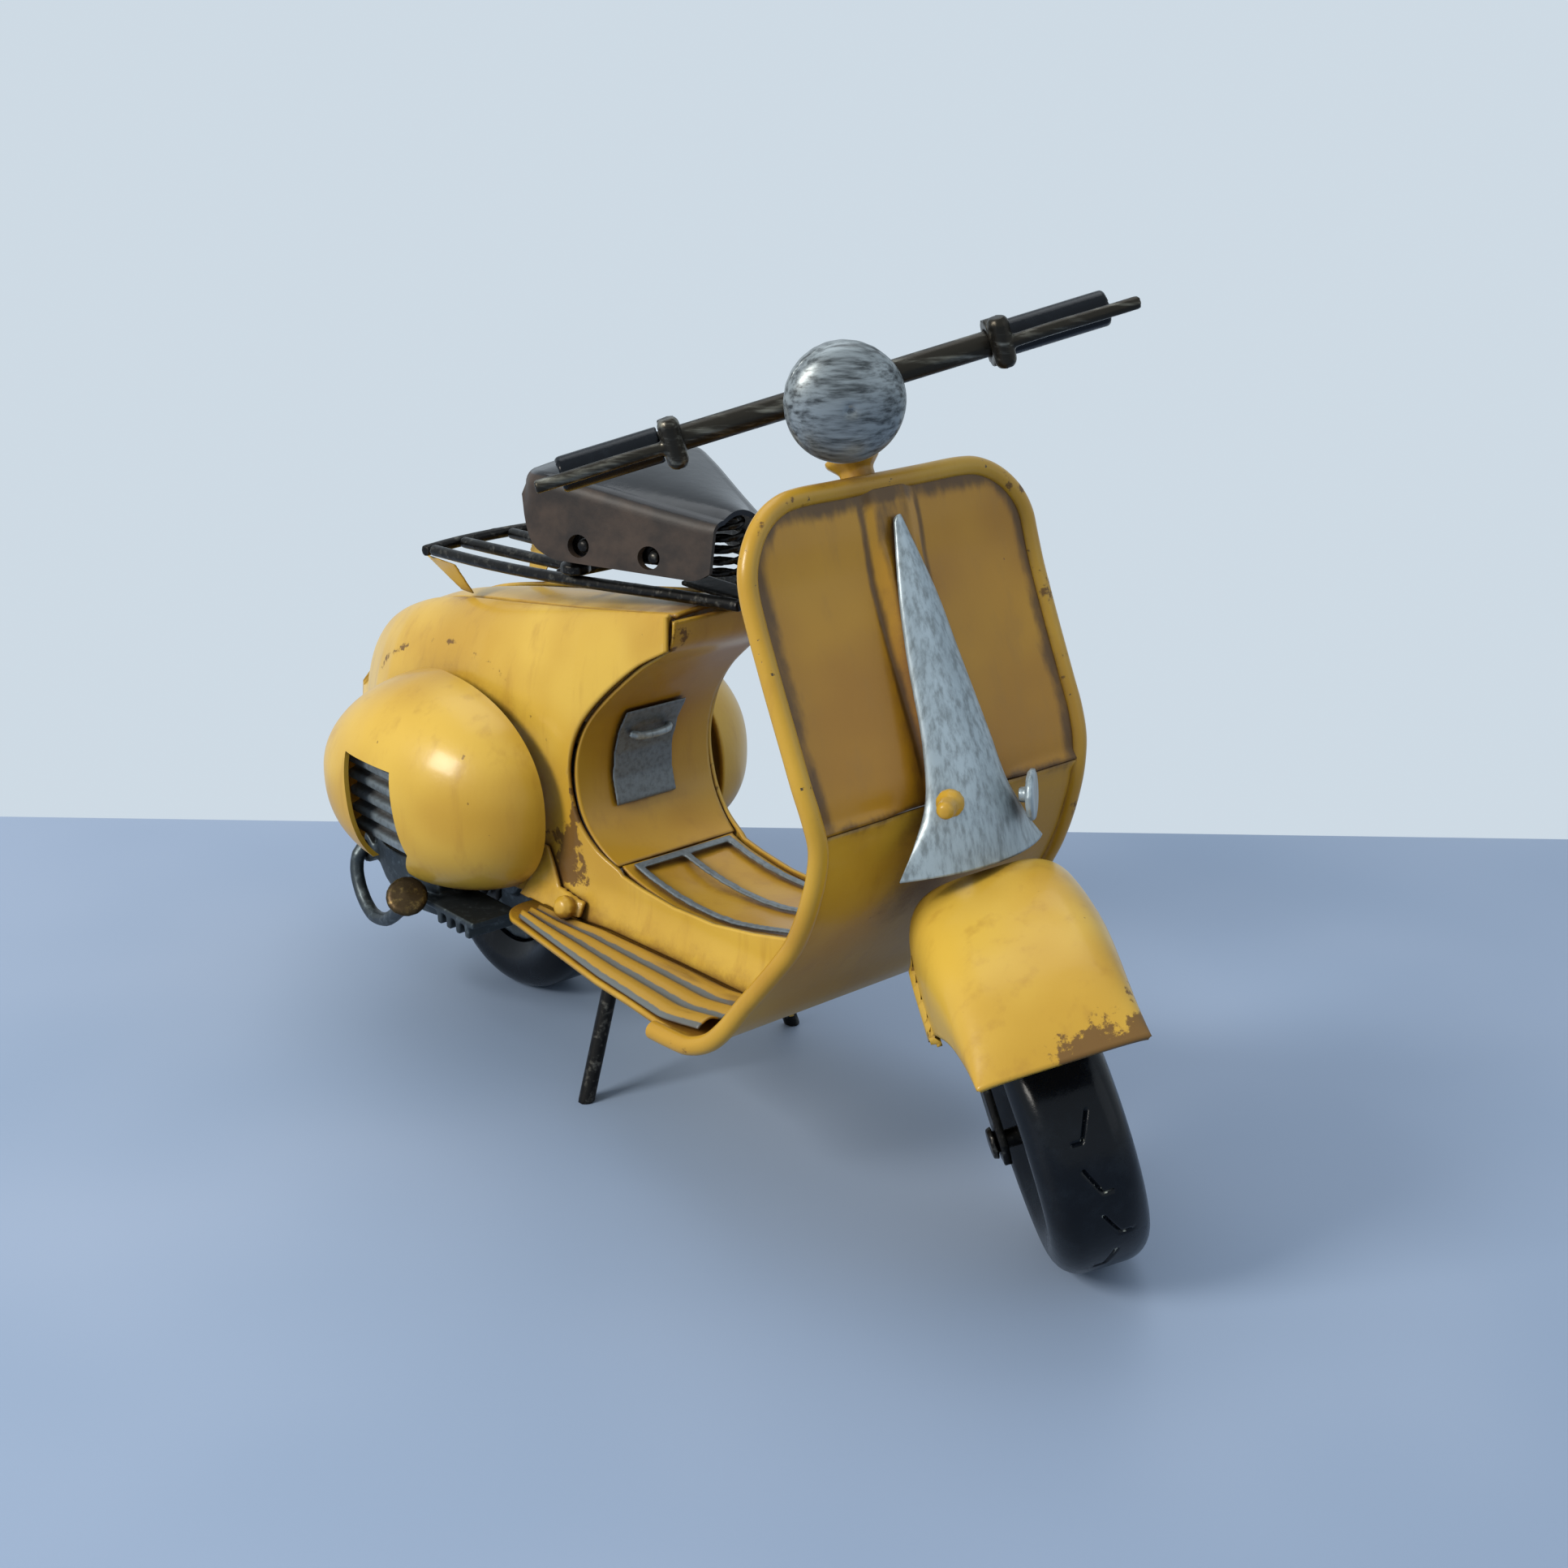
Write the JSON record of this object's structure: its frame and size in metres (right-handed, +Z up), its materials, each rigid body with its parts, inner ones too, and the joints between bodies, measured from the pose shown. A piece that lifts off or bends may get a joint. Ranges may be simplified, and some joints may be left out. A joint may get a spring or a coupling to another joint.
{
  "type": "tin motor scooter ornament",
  "caption": "Hand-made tin motor scooter ornament in aged yellow enamel, with turning wheels, steered front end, folding stand, sprung saddle and rear rack.",
  "frame": {"origin": "middle of the bounding box's foot, on the floor the wheels and stand rest on, with the front wheel turned to the right lock", "axes": "+X forward along the body, +Y to the rider's left, +Z up"},
  "size_m": [0.21, 0.0808, 0.139],
  "materials": {
    "yellow_enamel": "satin, aged, brown umber wash in the creases",
    "grey_paint": "satin silver grey, hand painted",
    "dark_steel": "dark, brushed with bronze wear",
    "tyre_black": "glossy black",
    "grip_black": "satin black",
    "saddle_brown": "glossy dark brown",
    "cast_grey": "satin dark grey",
    "pedal_brass": "dull",
    "lamp_steel": "brushed, dark streaks",
    "tail_red": "glossy"
  },
  "bodies": {
    "body": {"leg_shield": "yellow_enamel", "floor_pan": "yellow_enamel", "shield_bead": "yellow_enamel", "column_cover": "grey_paint", "cover_disc": "grey_paint", "cover_pin": "yellow_enamel", "column_sleeve": "yellow_enamel", "side_skin_right": "yellow_enamel", "side_skin_left": "yellow_enamel", "deck_strip": "yellow_enamel", "seat_panel": "yellow_enamel", "tunnel_top": "yellow_enamel", "tunnel_strips": "grey_paint", "door_plate": "grey_paint", "door_handle": "yellow_enamel", "tread_right": "grey_paint", "tread_left": "grey_paint", "cowl_left": "yellow_enamel", "cowl_right": "yellow_enamel", "louvre_slats": "grey_paint", "engine_block": "cast_grey", "foot_bracket_right": "yellow_enamel", "foot_bracket_left": "yellow_enamel", "rear_fork": "dark_steel", "rear_axle": "dark_steel", "stand_clip_right": "dark_steel", "stand_clip_left": "dark_steel", "rail_right": "dark_steel", "rail_left": "dark_steel", "rack_rear_bar": "dark_steel", "rack_inner_bars": "dark_steel", "rack_support_right": "yellow_enamel", "rack_support_left": "yellow_enamel", "seat_post_right": "dark_steel", "seat_post_left": "dark_steel", "seat_base": "dark_steel", "nose_spring": "dark_steel", "tail_lamp": "tail_red"},
    "steering": {"steering_stem": "dark_steel", "handlebar": "dark_steel", "grip_right": "grip_black", "grip_left": "grip_black", "lever_right": "dark_steel", "lever_left": "dark_steel", "lamp_bowl": "lamp_steel", "lamp_face": "lamp_steel", "front_fender": "yellow_enamel", "front_fork": "dark_steel", "front_axle": "dark_steel"},
    "front_wheel": {"front_tyre": "tyre_black", "front_hub": "cast_grey"},
    "rear_wheel": {"rear_tyre": "tyre_black", "rear_hub": "cast_grey"},
    "stand": {"stand_rod": "dark_steel", "stand_leg_right": "dark_steel", "stand_leg_left": "dark_steel"},
    "kick_start": {"kick_lever": "dark_steel", "kick_pedal": "pedal_brass"},
    "saddle": {"seat_cover": "saddle_brown", "seat_frame": "dark_steel"}
  },
  "joints": [
    {"name": "steer", "type": "hinge", "parent": "body", "child": "steering", "pos_m": [0.03876, 0.00277, 0.11], "axis": [-0.4587, 0, 0.8886], "range_deg": [0, 72]},
    {"name": "front_spin", "type": "hinge", "parent": "steering", "child": "front_wheel", "pos_m": [0.08153, 0.00442, 0.02216], "axis": [0.5223, 0.809, 0.2696], "continuous": true},
    {"name": "rear_spin", "type": "hinge", "parent": "body", "child": "rear_wheel", "pos_m": [-0.05234, 0.00277, 0.022], "axis": [0, 1, 0], "continuous": true},
    {"name": "stand_fold", "type": "hinge", "parent": "body", "child": "stand", "pos_m": [-0.00534, 0.00277, 0.0252], "axis": [0, 1, 0], "range_deg": [0, 75]},
    {"name": "kick_swing", "type": "hinge", "parent": "body", "child": "kick_start", "pos_m": [-0.06694, -0.02323, 0.029], "axis": [0, 1, 0], "range_deg": [0, 35]},
    {"name": "saddle_rock", "type": "hinge", "parent": "body", "child": "saddle", "pos_m": [-0.02074, 0.00277, 0.0934], "axis": [0, 1, 0], "range_deg": [0, 3], "stiffness_Nm_per_rad": 0.4, "springref_deg": -1.72, "deforming": ["nose_spring"]}
  ]
}
